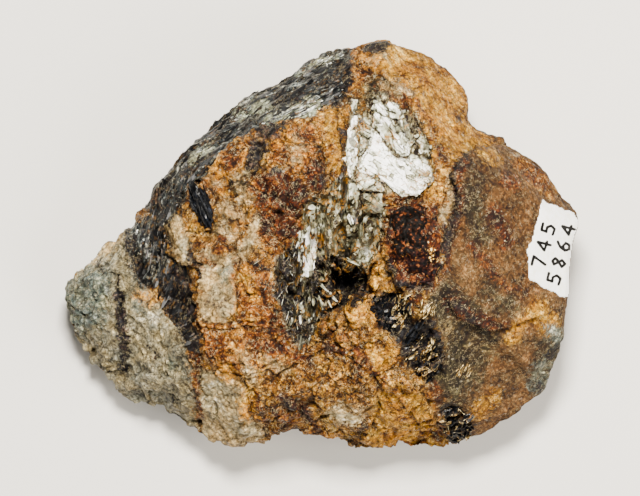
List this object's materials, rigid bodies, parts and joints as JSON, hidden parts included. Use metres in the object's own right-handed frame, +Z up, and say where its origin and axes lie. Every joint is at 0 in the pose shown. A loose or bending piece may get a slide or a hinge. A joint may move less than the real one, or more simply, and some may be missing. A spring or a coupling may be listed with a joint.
{
  "type": "zircon specimen",
  "caption": "Hand-sized lump of iron-stained pegmatite with a square brown zircon, silvery muscovite, black biotite and a white painted label, lying on its back with the crystals up.",
  "frame": {"origin": "middle of the plan at the height of the flat patch that the stone lies on", "axes": "+X along the length, away from the pale tongue and towards the label; +Z up, out of the crystal side"},
  "size_m": [0.1034, 0.0824, 0.0474],
  "materials": {
    "matrix": "rough broken rock: feldspar, quartz and schist, stained ochre and rust",
    "muscovite": "cleaved silvery mica, pearly",
    "zircon": "worn brown crystal, resinous to dull",
    "biotite": "cleaved black mica, glossy",
    "label": "white paint with thin ink strokes"
  },
  "bodies": {
    "root": {"matrix": "matrix", "muscovite_book": "muscovite", "muscovite_nest": "muscovite", "zircon_crystal": "zircon", "biotite_blade": "biotite", "biotite_cluster": "biotite", "biotite_toe": "biotite", "catalogue_label": "label"}
  },
  "joints": []
}
